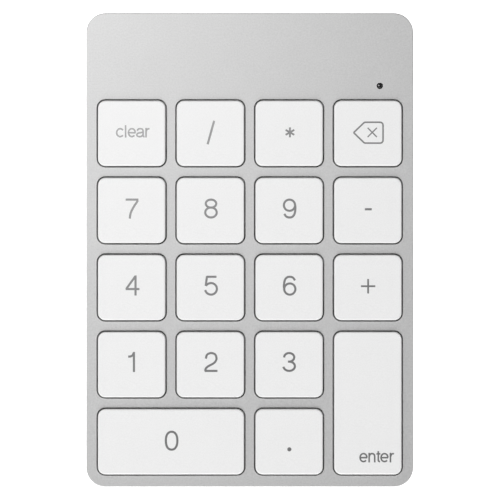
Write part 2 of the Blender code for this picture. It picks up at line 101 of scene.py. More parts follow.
def deck_box(node):
    """The lowest and the highest corner of a CAD node, in the deck's frame."""
    back = DECK_MATRIX.inverted()
    points = [back @ vertex.co for vertex in frame["nodes"][node].data.vertices]
    spans = list(zip(*points))
    return Vector([min(span) for span in spans]), Vector([max(span) for span in spans])


def middle_of(node):
    low, high = deck_box(node)
    return (low + high) / 2


def level(height):
    """A level plane at this height above the floor: its z in the deck's frame at each y."""
    up = DECK_MATRIX[2]
    return lambda y: (height - up[3] - up[1] * y) / up[2]


# Rings of points, and the solids that run through them


def ring_point(x, y, z):
    """z is a number, or a function of y such as level() gives."""
    return Vector((x, y, z(y) if callable(z) else z))


def rounded_ring(width, length, radius, z, centre=(0, 0), steps=8):
    """A rectangle with round corners, as points that run counterclockwise."""
    points = []
    for quarter, (side_x, side_y) in enumerate([(1, 1), (-1, 1), (-1, -1), (1, -1)]):
        for step in range(steps + 1):
            angle = pi / 2 * (quarter + step / steps)
            x = centre[0] + side_x * (width / 2 - radius) + radius * cos(angle)
            y = centre[1] + side_y * (length / 2 - radius) + radius * sin(angle)
            points.append(ring_point(x, y, z))
    return points


def inset_ring(size, inset, corner, z, centre=(0, 0), steps=8):
    """The ring of a rectangle of this size, drawn in by the inset on every side."""
    width, length = size[0] - 2 * inset, size[1] - 2 * inset
    return rounded_ring(width, length, corner, z, centre, steps)


def circle_ring(radius, z, centre=(0, 0), steps=32):
    angles = [2 * pi * step / steps for step in range(steps)]
    return [
        ring_point(centre[0] + radius * cos(a), centre[1] + radius * sin(a), z) for a in angles
    ]


def turned(profile, centre=(0, 0), steps=32):
    """The rings of a round solid through these (radius, z) pairs."""
    return [circle_ring(radius, z, centre, steps) for radius, z in profile]


def cylinder(radius, low, high, centre=(0, 0), steps=32):
    return turned([(radius, low), (radius, high)], centre, steps)


def quarter_round(radius, steps=5):
    """A fillet from an upright wall to a flat top, as (inset, drop below the top) pairs."""
    angles = [pi / 2 * step / steps for step in range(steps + 1)]
    return [(radius * (1 - cos(a)), radius * (1 - sin(a))) for a in angles]


def box_rings(low, high):
    corners = [(low[0], low[1]), (high[0], low[1]), (high[0], high[1]), (low[0], high[1])]
    return [[Vector((x, y, z)) for x, y in corners] for z in (low[2], high[2])]


def soft_sides(low, high, edge, steps=5):
    """A side with a fillet at both ends, as (inset, height) pairs from low to high.

    One step makes each fillet a chamfer.
    """
    fillet = quarter_round(edge, steps)
    sides = [(inset, low + drop) for inset, drop in reversed(fillet)]
    return sides + [(inset, high - drop) for inset, drop in fillet]


def soft_box(low, high, edge, steps=2):
    """A box with rounded upright edges, and fillets of this radius round its top and bottom."""
    size = (high[0] - low[0], high[1] - low[1])
    centre = ((low[0] + high[0]) / 2, (low[1] + high[1]) / 2)
    rings = []
    for inset, z in soft_sides(low[2], high[2], edge, steps):
        rings.append(inset_ring(size, inset, max(edge - inset, edge / 10), z, centre, steps + 1))
    return rings


def facing_rear(rings):
    """Turns rings drawn flat, so that their y becomes z and their z becomes y."""
    return [[Vector((p.x, p.z, p.y)) for p in ring] for ring in rings]


def facing_right(rings):
    """Turns rings drawn flat, so that their z becomes x."""
    return [[Vector((p.z, p.x, p.y)) for p in ring] for ring in rings]


def add_walls(mesh, low, high):
    count = len(low)
    for i in range(count):
        after = (i + 1) % count
        mesh.faces.new((low[i], low[after], high[after], high[i]))


def shape_from(mesh):
    """The finished data of a working mesh, which is freed."""
    data = bpy.data.meshes.new("shape")
    mesh.to_mesh(data)
    mesh.free()
    return data


def loft(runs, closed=False):
    """Solids that each run from ring to ring: with two flat ends, or back to the first ring."""
    mesh = bmesh.new()
    for rings in runs:
        loops = [[mesh.verts.new(point) for point in ring] for ring in rings]
        for low, high in zip(loops, loops[1:]):
            add_walls(mesh, low, high)
        if closed:
            add_walls(mesh, loops[-1], loops[0])
        else:
            mesh.faces.new(reversed(loops[0]))
            mesh.faces.new(loops[-1])
    bmesh.ops.recalc_face_normals(mesh, faces=mesh.faces)
    return shape_from(mesh)


def new_object(name, data):
    """An object in the scene that shows this data."""
    made = bpy.data.objects.new(name, data)
    bpy.context.scene.collection.objects.link(made)
    return made


def settled_mesh(made):
    """A copy of the mesh that an object shows, with its modifiers applied."""
    bpy.context.view_layer.update()
    evaluated = made.evaluated_get(bpy.context.evaluated_depsgraph_get())
    return bpy.data.meshes.new_from_object(evaluated)


def combined(base, joined=(), cut=()):
    """The base mesh with each mesh of joined added and each mesh of cut taken away."""
    objects = [new_object("working", shape) for shape in (base, *joined, *cut)]
    for made in objects[1:]:
        step = objects[0].modifiers.new("combine", "BOOLEAN")
        step.object = made
        step.operation = "UNION" if made.data in joined else "DIFFERENCE"
    result = settled_mesh(objects[0])
    for made in objects:
        bpy.data.objects.remove(made)
    return result


def merged(shapes):
    """Meshes that stay separate solids, in one mesh."""
    mesh = bmesh.new()
    for shape in shapes:
        mesh.from_mesh(shape)
    return shape_from(mesh)


def add_piece(name, data, finish, body="base", origin=(0, 0, 0), node=None):
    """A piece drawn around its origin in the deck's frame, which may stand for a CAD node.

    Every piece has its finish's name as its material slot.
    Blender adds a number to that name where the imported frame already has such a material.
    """
    data.transform(DECK_MATRIX.to_3x3().to_4x4())
    data.materials.clear()
    data.materials.append(finish)
    data.shade_smooth()
    data.set_sharp_from_angle(angle=SHARP_ANGLE)
    made = new_object(name, data)
    made.matrix_world = Matrix.Translation(DECK_MATRIX @ Vector(origin))
    normals = made.modifiers.new("flat faces stay flat", "WEIGHTED_NORMAL")
    normals.keep_sharp = True
    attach(made, body)
    if node:
        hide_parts(node)
    return made


# Finishes

MICRON = 1e-6
MOTTLE_SIZE = 0.006
ROUGHNESS_SPREAD = 0.08
# Noise seldom leaves this middle of 0 to 1
NOISE_MIDDLE = (0.3, 0.7)


def set_inputs(tree, node, inputs):
    """Gives a node's inputs these values, or links them to the outputs of other nodes."""
    for name, value in inputs.items():
        socket = node.inputs[name.replace("_", " ")]
        if isinstance(value, bpy.types.NodeSocket):
            tree.links.new(value, socket)
        else:
            socket.default_value = value


def new_node(tree, kind, **inputs):
    made = tree.nodes.new("ShaderNode" + kind)
    set_inputs(tree, made, inputs)
    return made


def linked_noise(tree, size, detail=2.0, stretch=(1, 1, 1)):
    """Noise in the piece's own space, with features of this size."""
    place = new_node(tree, "TexCoord").outputs["Object"]
    drawn = new_node(tree, "Mapping", Vector=place, Scale=stretch).outputs["Vector"]
    made = new_node(tree, "TexNoise", Vector=drawn, Scale=1 / size, Detail=detail)
    return made.outputs["Fac"]


def remapped(tree, value, low, high):
    """The middle of the noise, spread from low to high."""
    start, end = NOISE_MIDDLE
    ends = {"From_Min": start, "From_Max": end, "To_Min": low, "To_Max": high}
    return new_node(tree, "MapRange", Value=value, **ends).outputs["Result"]


def tinted(tree, value, darker, lighter):
    """A colour that goes from darker to lighter over the middle of the noise."""
    made = new_node(tree, "ValToRGB", Fac=value)
    stops = made.color_ramp.elements
    for stop, position, colour in zip(stops, NOISE_MIDDLE, (darker, lighter)):
        stop.position = position
        stop.color = (*colour, 1)
    return made.outputs["Color"]


def blended(tree, broad, fine, share):
    """Two noises in one, of which this share is the fine one."""
    return new_node(tree, "Mix", Factor=share, A=broad, B=fine).outputs["Result"]


def surface(
    name,
    colour,
    roughness,
    grain,
    depth,
    mottle=0.02,
    fine_share=0.5,
    stretch=(1, 1, 1),
    **sockets,
):
    """A finish with broad and fine mottling, and a relief of this grain. Its depth is in microns.

    stretch draws the grain out along an axis. Further sockets of the shader are set by name.
    """
    made = bpy.data.materials.new(name)
    made.use_nodes = True
    tree = made.node_tree
    darker = [channel * (1 - mottle) for channel in colour]
    lighter = [min(channel * (1 + mottle), 1) for channel in colour]
    fine = linked_noise(tree, grain, stretch=stretch)
    patches = blended(tree, linked_noise(tree, MOTTLE_SIZE, detail=4.0), fine, fine_share)
    smoother, rougher = roughness * (1 - ROUGHNESS_SPREAD), roughness * (1 + ROUGHNESS_SPREAD)
    sockets["Base_Color"] = tinted(tree, patches, darker, lighter)
    sockets["Roughness"] = remapped(tree, fine, smoother, rougher)
    relief = new_node(tree, "Bump", Distance=depth * MICRON, Height=fine)
    sockets["Normal"] = relief.outputs["Normal"]
    set_inputs(tree, tree.nodes["Principled BSDF"], sockets)
    return made


BODY_METAL = surface(
    "body_metal", (0.56, 0.56, 0.56), 0.58, 0.00035, 6, mottle=0.09, fine_share=0.9, Metallic=1.0
)
KEY_PLASTIC = surface(
    "key_plastic", (0.82, 0.82, 0.82), 0.42, 0.00025, 2, mottle=0.035, fine_share=0.85
)
LEGEND_INK = surface(
    "legend_ink", (0.112, 0.112, 0.114), 0.34, 0.00006, 1, Specular_IOR_Level=0.75, IOR=1.95
)
LINK_PLASTIC = surface("link_plastic", (0.70, 0.70, 0.68), 0.50, 0.00015, 2)
DOME_RUBBER = surface("dome_rubber", (0.62, 0.63, 0.61), 0.55, 0.00012, 2)
CIRCUIT_FILM = surface("circuit_film", (0.55, 0.60, 0.55), 0.22, 0.00040, 1)
TRACK_SILVER = surface("track_silver", (0.62, 0.62, 0.60), 0.45, 0.00008, 2, Metallic=0.8)
PLATE_STEEL = surface(
    "plate_steel", (0.50, 0.50, 0.50), 0.35, 0.00020, 1, stretch=(1, 12, 1), Metallic=1.0
)
BASE_PLASTIC = surface("base_plastic", (0.74, 0.74, 0.73), 0.50, 0.00022, 6, mottle=0.01)
FOOT_RUBBER = surface("foot_rubber", (0.42, 0.42, 0.42), 0.80, 0.00018, 5, mottle=0.05)
SCREW_STEEL = surface(
    "screw_steel", (0.40, 0.40, 0.41), 0.30, 0.00010, 1, mottle=0.05, Metallic=1.0
)
BOARD_GREEN = surface("board_green", (0.015, 0.12, 0.045), 0.38, 0.00060, 4, mottle=0.08)
CHIP_BLACK = surface("chip_black", (0.02, 0.02, 0.022), 0.55, 0.00008, 2, mottle=0.1)
CAN_STEEL = surface(
    "can_steel", (0.60, 0.59, 0.57), 0.32, 0.00030, 1, stretch=(10, 1, 1), Metallic=1.0
)
CONTACT_GOLD = surface("contact_gold", (0.83, 0.60, 0.24), 0.25, 0.00008, 0.5, Metallic=1.0)
CELL_WRAP = surface("cell_wrap", (0.52, 0.54, 0.57), 0.38, 0.00050, 6, Metallic=0.85)
CELL_TAPE = surface("cell_tape", (0.62, 0.36, 0.05), 0.35, 0.00060, 3, mottle=0.06)
PORT_STEEL = surface(
    "port_steel", (0.62, 0.62, 0.62), 0.28, 0.00012, 0.7, stretch=(1, 8, 1), Metallic=1.0
)
BLACK_PLASTIC = surface("black_plastic", (0.022, 0.022, 0.023), 0.42, 0.00012, 2, mottle=0.1)
LAMP_PLASTIC = surface("lamp_plastic", (0.006, 0.006, 0.007), 0.08, 0.00050, 0.2, Coat_Weight=0.5)


# Body: the metal shell with its key holes, on a plastic base

KEY_NAMES = [name.removeprefix("keycap_") for name in frame["nodes"] if name.startswith("keycap_")]
SCREWS = [name for name in frame["nodes"] if name.startswith("screw_")]
FEET = [name for name in frame["nodes"] if name.startswith("foot_")]
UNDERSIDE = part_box("top_cover")[0].z
BASE_TOP = 0.0019
BOSS_RADIUS = 0.0015
BOSS_HOLE = 0.0010
BOSS_DEPTH = 0.0033
LAMP_HOLE = 0.00076
PORT_CHAMFER = 0.00015
# A little under 1, so that a slot's round ends keep a short straight side
END_GROWTH = 0.99
END_LIMIT = 0.98
SWITCH_TRAVEL = 0.0025
POCKET_HEIGHT = 0.0019
BUTTON_RADIUS = 0.0012


def flared(ring_at, chamfer, inner, outer):
    """A cutter from inside the wall to beyond its face, which leaves a chamfer at the face.

    ring_at(grown, z) gives the cutter's ring, grown by that much on every side.
    """
    into = 1 if outer > inner else -1
    return [
        ring_at(0, inner),
        ring_at(0, outer - into * chamfer),
        ring_at(chamfer + OVERSHOOT, outer + into * OVERSHOOT),
    ]


def body_shell():
    low, high = deck_box("top_cover")

    def ring(inset, z):
        return inset_ring((high - low).xy, inset, BODY_CORNER - inset, z, steps=14)

    fillet = quarter_round(BODY_FILLET, 4)
    shell = [ring(WALL, -DECK), ring(WALL, level(UNDERSIDE)), ring(FIT, level(UNDERSIDE))]
    shell += [ring(0, level(UNDERSIDE + FIT))]
    shell += [ring(inset, -drop) for inset, drop in fillet]
    bosses = []
    holes = []
    for screw in SCREWS:
        place = middle_of(screw).xy
        end = level(BASE_TOP + FIT)(place.y)
        bosses.append(cylinder(BOSS_RADIUS, end, -DECK + BITE, place))
        holes.append(cylinder(BOSS_HOLE, end - OVERSHOOT, end + BOSS_DEPTH, place))
    for key in KEY_NAMES:
        cap_low, cap_high = deck_box(f"keycap_{key}")
        size = (cap_high - cap_low).xy - Vector(CAP_TRIM)
        centre = (cap_low + cap_high).xy / 2

        def aperture(grown, z, size=size, centre=centre):
            grown += CAP_GAP
            return inset_ring(size, -grown, CAP_CORNER + grown, z, centre)

        holes.append(flared(aperture, RIM_CHAMFER, -DECK - OVERSHOOT, 0))

    def lamp_hole(grown, z):
        return circle_ring(LAMP_HOLE + grown, z, middle_of("light_pipe").xy)

    holes.append(flared(lamp_hole, RIM_CHAMFER / 2, -DECK - OVERSHOOT, 0))
    return combined(loft([shell]), joined=[loft(bosses)], cut=[loft(holes + port_holes(high.y))])


def port_holes(face):
    """Cutters for the holes in the rear wall, whose outer face is at this y."""
    usb_low, usb_high = deck_box("usb_socket")
    usb = (usb_high - usb_low).xz
    usb_place = middle_of("usb_socket").xz
    slider = deck_box("power_switch_slider")
    swept = slider[1].x - slider[0].x + SWITCH_TRAVEL
    switch_place = (slider[0].x + swept / 2, usb_place.y)
    button_place = (middle_of("pairing_button").x, usb_place.y)

    def usb_ring(grown, y):
        grown += FIT
        return inset_ring(usb, -grown, usb.y / 2 + grown * END_GROWTH, y, usb_place)

    def switch_ring(grown, y):
        pocket = (swept + 2 * FIT, POCKET_HEIGHT)
        return inset_ring(pocket, -grown, FIT + grown, y, switch_place)

    def button_ring(grown, y):
        return circle_ring(BUTTON_RADIUS + FIT + grown, y, button_place)

    inner = face - WALL - OVERSHOOT
    return [
        facing_rear(flared(ring, PORT_CHAMFER, inner, face))
        for ring in (usb_ring, switch_ring, button_ring)
    ]


add_piece("body_shell", body_shell(), BODY_METAL, node="top_cover")


# Keys


def cap_rings(size, top, skirt):
    """A hollow cap whose top edge is a soft fillet."""

    def ring(inset, z):
        return inset_ring(size, inset, CAP_CORNER - min(inset, CAP_CORNER_LOSS), z)

    rings = [ring(CAP_WALL, top - CAP_ROOF), ring(CAP_WALL, skirt), ring(CAP_HEM, skirt)]
    rings.append(ring(0, skirt + CAP_HEM))
    rings += [ring(inset, top - drop) for inset, drop in quarter_round(CAP_FILLET, 8)]
    return rings


def key_cap(key):
    low, high = deck_box(f"keycap_{key}")
    top = high.z
    size = (high - low).xy - Vector(CAP_TRIM)
    shell = loft([cap_rings(size, top, -SKIRT)])
    links = deck_box(f"scissor_{key}")
    near = (links[1].y - links[0].y) / 2 + FIT
    roof = top - CAP_ROOF
    ribs = []
    for start in (near, -near - RIB):
        corner = (-RIB_WIDTH / 2, start, roof - RIB_DEPTH)
        ribs.append(box_rings(corner, (RIB_WIDTH / 2, start + RIB, roof + BITE)))
    return combined(shell, joined=[loft(ribs)])


for key in KEY_NAMES:
    place = (*middle_of(f"keycap_{key}").xy, 0)
    add_piece(f"cap_{key}", key_cap(key), KEY_PLASTIC, f"key_{key}", place, f"keycap_{key}")


# Legends: strokes of ink, drawn with lines and arcs

INK_RAISE = 0.000012
INK_SINK = 0.000020
DIGIT_STROKE = 0.00052
DIGIT_HEIGHT = 0.00432
DIGIT_HALF = 0.00139
DIGIT_CUT = DIGIT_STROKE / 2 / DIGIT_HEIGHT
DIGIT_SHIFT = 0.00015
DIGIT_LIFT = 0.00044
# Digits that are printed a little off the others' place on the cap
DIGIT_NUDGES = {
    "0": (0, -0.00016),
    "1": (0, 0.00022),
    "2": (0, 0.00022),
    "3": (-0.00014, 0.00022),
    "4": (0.00008, 0.00006),
    "6": (-0.00006, 0),
}
LETTER_STROKE = 0.00038
LETTER_HEIGHT = 0.00193
LETTER_CUT = LETTER_STROKE / 2 / LETTER_HEIGHT
# A sharp corner's mitre is cut off at a stroke's half width divided by this
MITRE_LIMIT = 0.3


def arc(centre, radii, start, end, steps=20):
    """Part of an ellipse, between two angles in degrees."""
    angles = [radians(start + (end - start) * step / steps) for step in range(steps + 1)]
    return [(centre[0] + radii[0] * cos(a), centre[1] + radii[1] * sin(a)) for a in angles]


def oval(centre, radii, power=2.0, steps=40):
    """A closed loop. A power above 2 makes its sides straighter."""
    points = []
    for step in range(steps):
        angle = 2 * pi * step / steps
        x, y = cos(angle), sin(angle)
        reach = (abs(x) ** power + abs(y) ** power) ** (-1 / power)
        points.append((centre[0] + radii[0] * x * reach, centre[1] + radii[1] * y * reach))
    return points + [points[0]]


def smooth(points, steps=6):
    """A smooth line through the points."""
    points = [Vector(point) for point in points]
    ends = [2 * points[0] - points[1], *points, 2 * points[-1] - points[-2]]
    path = []
    for before, start, end, after in zip(ends, ends[1:], ends[2:], ends[3:]):
        for step in range(steps):
            t = step / steps
            spread = (
                2 * start
                + (end - before) * t
                + (2 * before - 5 * start + 4 * end - after) * t**2
                + (3 * start - before - 3 * end + after) * t**3
            ) / 2
            path.append(tuple(spread))
    return path + [tuple(points[-1])]


NINE = [
    oval((-0.05, 0.687), (0.97, 0.313)),
    smooth(
        [(0.90, 0.74), (0.98, 0.53), (0.86, 0.23), (0.52, 0.055), (0, 0)]
        + [(-0.58, 0.045), (-0.96, 0.20)]
    ),
]
# x runs from -1 to 1 over the digit's width, y from 0 to 1 over its height
DIGITS = {
    "0": [oval((0, 0.5), (1, 0.5), power=2.3)],
    "1": [
        [(0.30, -DIGIT_CUT), (0.30, 1 + DIGIT_CUT)],
        smooth([(-0.70, 0.80), (-0.30, 0.81), (0.05, 0.87), (0.28, 1.02)]),
    ],
    "2": [
        smooth(
            [(-0.91, 0.69), (-0.66, 0.91), (0.03, 1.0), (0.72, 0.92), (0.96, 0.71), (0.78, 0.53)]
            + [(0.33, 0.40), (-0.48, 0.26), (-0.88, 0.14), (-1.02, 0)]
        ),
        [(-1.12, 0), (1.13, 0)],
    ],
    "3": [
        arc((0, 0.76), (0.88, 0.24), 182, -90) + [(-0.22, 0.52)],
        arc((0, 0.26), (1, 0.26), 90, -174),
    ],
    "4": [
        [(0.52, -DIGIT_CUT), (0.52, 1 + DIGIT_CUT)],
        [(0.50, 1.02), (-1.10, 0.305)],
        [(-1.20, 0.30), (1.20, 0.30)],
    ],
    "5": [
        [(-0.78, 1), (0.96, 1)],
        [(-0.70, 1.03), (-0.92, 0.49)],
        arc((0, 0.325), (1.03, 0.325), 150, -168),
    ],
    "6": [[(-x, 1 - y) for x, y in stroke] for stroke in NINE],
    "7": [
        [(-1.14, 1), (1.08, 1)],
        smooth(
            [(0.98, 0.96), (0.66, 0.79), (0.30, 0.62), (-0.10, 0.38), (-0.32, 0.18)]
            + [(-0.42, -DIGIT_CUT)]
        ),
    ],
    "8": [oval((0, 0.776), (0.91, 0.224)), oval((0, 0.279), (1, 0.279))],
    "9": NINE,
}

# One unit of x is one unit of y, the height of a small letter. Each letter has its own x = 0.
LETTERS = {
    "c": [arc((0, 0.5), (0.44, 0.5), 38, 322)],
    "l": [[(0, -LETTER_CUT), (0, 1.45)]],
    "e": [arc((0, 0.5), (0.43, 0.5), 0, 318), [(-0.43, 0.49), (0.47, 0.49)]],
    "a": [
        smooth(
            [(-0.33, 0.74), (-0.20, 0.93), (0.05, 1.0), (0.32, 0.92), (0.41, 0.70), (0.41, 0.18)]
        )
        + [(0.43, 0.08), (0.50, 0.01), (0.60, 0)],
        smooth(
            [(0.43, 0.56), (0.10, 0.50), (-0.22, 0.43), (-0.38, 0.24), (-0.28, 0.06), (0, 0)]
            + [(0.26, 0.08), (0.43, 0.30)]
        ),
    ],
    "r": [
        [(0, -LETTER_CUT), (0, 1 + LETTER_CUT)],
        smooth([(0.02, 0.62), (0.10, 0.86), (0.26, 0.98), (0.44, 0.99)]),
    ],
    "n": [
        [(0, -LETTER_CUT), (0, 1 + LETTER_CUT)],
        smooth([(0.02, 0.66), (0.12, 0.90), (0.36, 1.0), (0.62, 0.90), (0.70, 0.64)])
        + [(0.70, -LETTER_CUT)],
    ],
    "t": [
        [(0, 1.32), (0, 0.22), (0.02, 0.10), (0.09, 0.02), (0.23, 0)],
        [(-0.23, 0.97), (0.27, 0.97)],
    ],
}


def scaled(strokes, across, up, shift=(0, 0)):
    return [[(x * across + shift[0], y * up + shift[1]) for x, y in path] for path in strokes]


def word(letters, spacing, start):
    """Strokes of letters whose x = 0 stand at these steps of the letter height."""
    strokes = []
    for letter, step in zip(letters, spacing):
        shift = (start[0] + step * LETTER_HEIGHT, start[1])
        strokes += scaled(LETTERS[letter], LETTER_HEIGHT, LETTER_HEIGHT, shift)
    return strokes


def ink_stroke(path, width, top):
    """A stroke of this width along the path, with square ends and mitred corners.

    A path of one point gives a round dot.
    """
    low, high = top - INK_SINK, top + INK_RAISE
    if len(path) == 1:
        return loft([cylinder(width / 2, low, high, path[0])])
    looped = path[0] == path[-1]
    points = [Vector(point) for point in path]
    aheads = [(after - point).normalized() for point, after in zip(points, points[1:])]
    backs = [aheads[-1] if looped else aheads[0], *aheads]
    if looped:
        points.pop()
    else:
        aheads.append(aheads[-1])
    rings = []
    for point, back, ahead in zip(points, backs, aheads):
        along = (back + ahead).normalized()
        side = Vector((-along.y, along.x)) * width / 2 / max(along.dot(ahead), MITRE_LIMIT)
        left, right = point + side, point - side
        section = ((left, low), (right, low), (right, high), (left, high))
        rings.append([Vector((*place, z)) for place, z in section])
    return loft([rings], closed=looped)


def rounded_corner(before, corner, after, radius, steps):
    """The points of an arc of this radius that takes the place of a corner."""
    back = (before - corner).normalized()
    ahead = (after - corner).normalized()
    half_angle = back.angle(ahead) / 2
    centre = corner + (back + ahead).normalized() * radius / sin(half_angle)
    start = corner + back * radius / tan(half_angle) - centre
    end = corner + ahead * radius / tan(half_angle) - centre
    turns = [start.slerp(end, step / steps).normalized() for step in range(steps + 1)]
    return [centre + turn * radius for turn in turns]


def rounded_line(corners, radii, steps=4):
    """A closed line through the corners, each rounded with its own radius."""
    corners = [Vector(corner) for corner in corners]
    afters = corners[1:] + corners[:1]
    path = []
    for i, (corner, after, radius) in enumerate(zip(corners, afters, radii)):
        path += [tuple(p) for p in rounded_corner(corners[i - 1], corner, after, radius, steps)]
    return path + [path[0]]


def crossing(centre, reach, angles):
    """Straight strokes through one point, at these angles in degrees."""
    middle = Vector(centre)
    steps = [Vector((cos(a), sin(a))) * reach for a in map(radians, angles)]
    return [[tuple(middle - step), tuple(middle + step)] for step in steps]


def inked(paths, width):
    """These paths as (path, width) pairs."""
    return [(path, width) for path in paths]


# Letters, the steps between them and the place of the first, from the key's middle
WORDS = {
    "clear": ("clear", (0.02, 0.70, 1.48, 2.48, 3.26), (-0.00280, -0.00083)),
    "enter": ("enter", (0, 0.71, 1.85, 2.63, 3.38), (-0.00107, -0.01410)),
}
SLASH = [(-0.00066, -0.00268), (0.00092, 0.00302)]
STAR_CENTRE = (0.00019, 0.00021)
STAR_REACH = 0.00120
STAR_STROKE = 0.00045
MINUS_CENTRE = (0.00009, 0.00027)
MINUS_REACH = 0.00084
PLUS_CENTRE = (0.00005, 0.00032)
PLUS_REACH = 0.00174
PLUS_STROKE = 0.00044
POINT_CENTRE = (0.00005, -0.00181)
POINT_WIDTH = 0.00100
BACK_CENTRE = (0.00010, 0.00013)
BACK_HALF_WIDTH = 0.00356
BACK_HALF_HEIGHT = 0.00252
BACK_SHOULDER = -0.00093
BACK_RADII = (0.00021, 0.00055, 0.00070, 0.00070, 0.00055)
CROSS_CENTRE = (0.00105, 0.00019)
CROSS_REACH = 0.00158
CROSS_STROKE = 0.00030
back_outline = [
    (-BACK_HALF_WIDTH, 0),
    (BACK_SHOULDER, -BACK_HALF_HEIGHT),
    (BACK_HALF_WIDTH, -BACK_HALF_HEIGHT),
    (BACK_HALF_WIDTH, BACK_HALF_HEIGHT),
    (BACK_SHOULDER, BACK_HALF_HEIGHT),
]
back_line = scaled([rounded_line(back_outline, BACK_RADII)], 1, 1, BACK_CENTRE)
SIGNS = {
    "divide": inked([SLASH], DIGIT_STROKE),
    "multiply": inked(crossing(STAR_CENTRE, STAR_REACH, (30, 90, 150)), STAR_STROKE),
    "minus": inked(crossing(MINUS_CENTRE, MINUS_REACH, (0,)), DIGIT_STROKE),
    "plus": inked(crossing(PLUS_CENTRE, PLUS_REACH, (0, 90)), PLUS_STROKE),
    "decimal": inked([[POINT_CENTRE]], POINT_WIDTH),
    "backspace": inked(back_line, LETTER_STROKE)
    + inked(crossing(CROSS_CENTRE, CROSS_REACH, (45, 135)), CROSS_STROKE),
}


def legend_strokes(key):
    """The strokes of a key's legend round the key's middle, as (path, width) pairs."""
    if key in DIGITS:
        nudge = DIGIT_NUDGES.get(key, (0, 0))
        shift = (DIGIT_SHIFT + nudge[0], DIGIT_LIFT - DIGIT_HEIGHT / 2 + nudge[1])
        return inked(scaled(DIGITS[key], DIGIT_HALF, DIGIT_HEIGHT, shift), DIGIT_STROKE)
    if key in WORDS:
        return inked(word(*WORDS[key]), LETTER_STROKE)
    return SIGNS[key]


for key in KEY_NAMES:
    low, high = deck_box(f"keycap_{key}")
    centre = (low + high) / 2
    solids = [ink_stroke(path, width, high.z) for path, width in legend_strokes(key)]
    legend = combined(solids[0], joined=solids[1:])
    place = (centre.x, centre.y, 0)
    add_piece(f"legend_{key}", legend, LEGEND_INK, f"key_{key}", place)


# Under the keys: scissor links, rubber domes, the film circuit and the stabilizer wires

LINK_BAR = 0.0010
LINK_CORNER = LINK_BAR * 0.7
LINK_THICKNESS = 0.0007
LINK_LEAN = 0.145
LINK_EDGE = 0.00012
LINK_PIN = 0.00025
# (radius, z) down the wall's outer side from the dimple, then up its inner side to the stub
DOME_OUTSIDE = [(0.0001, -0.00050), (0.0007, -0.00046), (0.00125, -0.00040)]
DOME_OUTSIDE += [(0.00150, -0.00055), (0.00158, -0.00095), (0.00205, -0.00145)]
DOME_OUTSIDE += [(0.00285, -0.00205), (0.00325, -0.00262)]
DOME_INSIDE = [(0.00288, -0.00262), (0.00248, -0.00212), (0.00175, -0.00158)]
DOME_INSIDE += [(0.00125, -0.00105), (0.00085, -0.00095), (0.00075, -0.00150)]
DOME_INSIDE += [(0.00060, -0.00178), (0.0001, -0.00180)]
DOME_MOUTH = 0.0029
TRACK_WIDTH = 0.0005
TRACK_RAISE = 0.00001
TRACK_SINK = 0.00005
PAD_RADIUS = 0.0016
TAIL_X = (0.0080, 0.0160)
TAIL_BENDS = (0.0386, 0.0416)
TAIL_BEND = 0.0003
SHEET_THICKNESS = 0.00025
COLUMN_PITCH = 0.01905
WIRE_RADIUS = 0.00035
WIRE_BEND = 0.0008
WIRE_HOOK = 0.0014
DOME_LOW, DOME_HIGH = deck_box("dome_sheet")
FILM_LOW, FILM_HIGH = deck_box("membrane_circuit")


def link_frame(width, length, lean):
    """One link: a flat frame of bars with rounded edges, which leans about its middle."""
    turn = Matrix.Rotation(lean, 4, "X")
    half = LINK_THICKNESS / 2
    side = [(0, LINK_EDGE - half), (0, half - LINK_EDGE), (LINK_EDGE, half)]
    section = side + [(LINK_BAR - inset, z) for inset, z in reversed(side)]
    section += [(LINK_BAR - LINK_EDGE, -half), (LINK_EDGE, -half)]
    rings = []
    for inset, z in section:
        ring = inset_ring((width, length), inset, LINK_CORNER - inset / 2, z, steps=4)
        rings.append([turn @ point for point in ring])
    return loft([rings], closed=True)


def scissor_links(width, length):
    """The outer and the inner link, on the pins that they turn on."""
    inner_width = width - 2 * LINK_BAR - 2 * FIT
    far = width / 2 - LINK_BAR / 2
    near = inner_width / 2 - LINK_BAR / 2
    spans = ((near, far), (-far, -near))
    pins = [facing_right(cylinder(LINK_PIN, *span, steps=16)) for span in spans]
    outer = link_frame(width, length, LINK_LEAN)
    inner = link_frame(inner_width, length, -LINK_LEAN)
    return combined(outer, joined=[loft(pins), inner])


def dome_solid():
    """A hollow rubber dome with a dimple on top and a stub inside that presses the film."""
    profile = smooth(DOME_OUTSIDE, 3) + smooth(DOME_INSIDE, 3)
    return loft([turned(profile, steps=40)])


def flat_layer(low, high, holes):
    """A sheet between these corners, with holes of these (place, radius) through it."""
    corner = ((high - low).xy, 0, OVERSHOOT)
    centre = (low + high).xy / 2
    sheet = [inset_ring(*corner, z, centre, steps=4) for z in (low.z, high.z)]
    ends = (low.z - OVERSHOOT, high.z + OVERSHOOT)
    cuts = [cylinder(radius, *ends, place, steps=40) for place, radius in holes]
    return combined(loft([sheet]), cut=[loft(cuts)])


def flat_track(path, top):
    """A printed conductor, as wide as a track, on a surface at this height."""
    return ink_stroke(path, TRACK_WIDTH, top - INK_RAISE + TRACK_RAISE)


